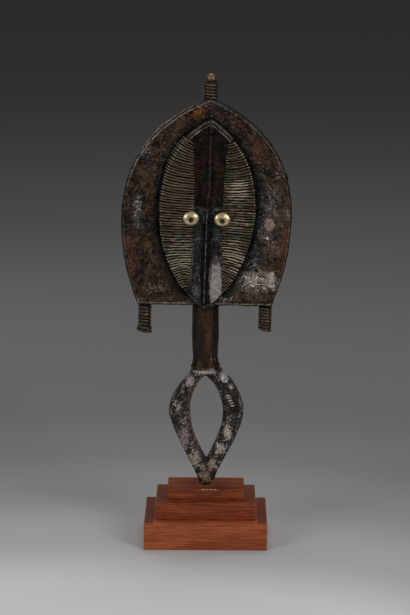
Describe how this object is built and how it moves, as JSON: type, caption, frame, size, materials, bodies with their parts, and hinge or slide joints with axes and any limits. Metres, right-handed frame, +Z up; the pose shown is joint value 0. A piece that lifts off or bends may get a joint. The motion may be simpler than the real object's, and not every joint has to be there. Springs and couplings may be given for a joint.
{
  "type": "kota reliquary figure",
  "caption": "Standing guardian figure: pointed oval head board dressed in hammered copper sheet and wire, on a neck and an open lozenge, with its stepped wooden plinth.",
  "frame": {"origin": "centre of the underside of the lower plinth board", "axes": "+Z up along the figure, -Y the way the face looks, +X to the right as seen from the front"},
  "size_m": [0.2041, 0.108, 0.5757],
  "materials": {
    "mahogany": "satin varnish",
    "carved_wood": "dry encrusted wood",
    "copper_sheet": "dark worn patina",
    "dark_sheet": "dark worn sheet",
    "edging": "dark metal, rubbed bright",
    "brass_wire": "rubbed brass",
    "coil_wire": "dull brass",
    "polished_brass": "bright brass",
    "nail": "rusted iron"
  },
  "bodies": {
    "root": {"plinth_lower_board": "mahogany", "plinth_middle_board": "mahogany", "plinth_upper_board": "mahogany", "wooden_figure": "carved_wood", "neck_sheet": "copper_sheet", "crest_sheet_left": "copper_sheet", "crest_sheet_right": "copper_sheet", "side_sheet_left": "copper_sheet", "side_sheet_right": "copper_sheet", "forehead_sheet": "dark_sheet", "nose_sheet": "dark_sheet", "face_edging": "edging", "left_cheek_wires": "brass_wire", "left_eye_disc": "polished_brass", "left_eye_nail": "nail", "left_stub_winding": "coil_wire", "right_cheek_wires": "brass_wire", "right_eye_disc": "polished_brass", "right_eye_nail": "nail", "right_stub_winding": "coil_wire", "finial_winding": "coil_wire", "finial_cap": "polished_brass"}
  },
  "joints": []
}
